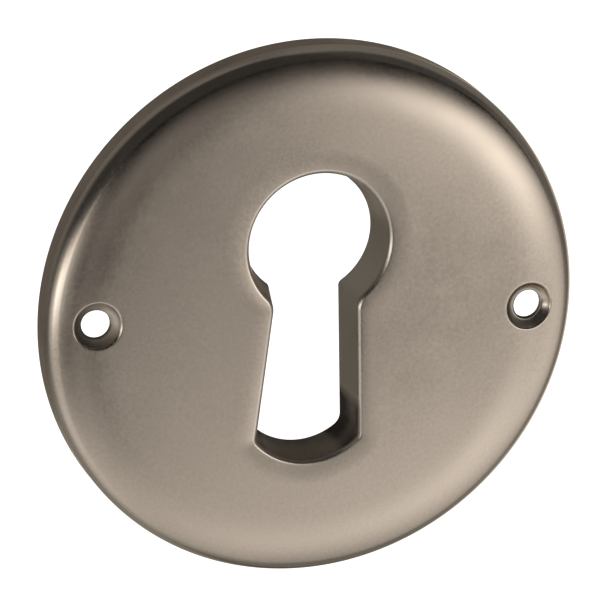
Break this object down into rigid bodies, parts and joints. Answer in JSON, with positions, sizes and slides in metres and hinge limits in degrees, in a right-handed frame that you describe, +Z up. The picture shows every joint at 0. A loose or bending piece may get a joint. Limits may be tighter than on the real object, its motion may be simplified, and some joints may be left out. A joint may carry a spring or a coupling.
{
  "type": "keyhole escutcheon",
  "caption": "Round domed keyhole escutcheon in satin nickel: rim turned back to the door, flared keyhole with a rolled mouth and collar, countersunk screw holes either side.",
  "frame": {"origin": "middle of the circle on which the rim meets the door, in the plane of the seat", "axes": "+Z up with the keyhole's round head at the top, front facing -Y, seat facing +Y, +X to the right as seen from the front"},
  "size_m": [0.05, 0.0047, 0.05],
  "materials": {
    "satin_nickel": "pressed brass sheet, satin nickel plate, fine matt grain"
  },
  "bodies": {
    "root": {"escutcheon_plate": "satin_nickel"}
  },
  "joints": []
}
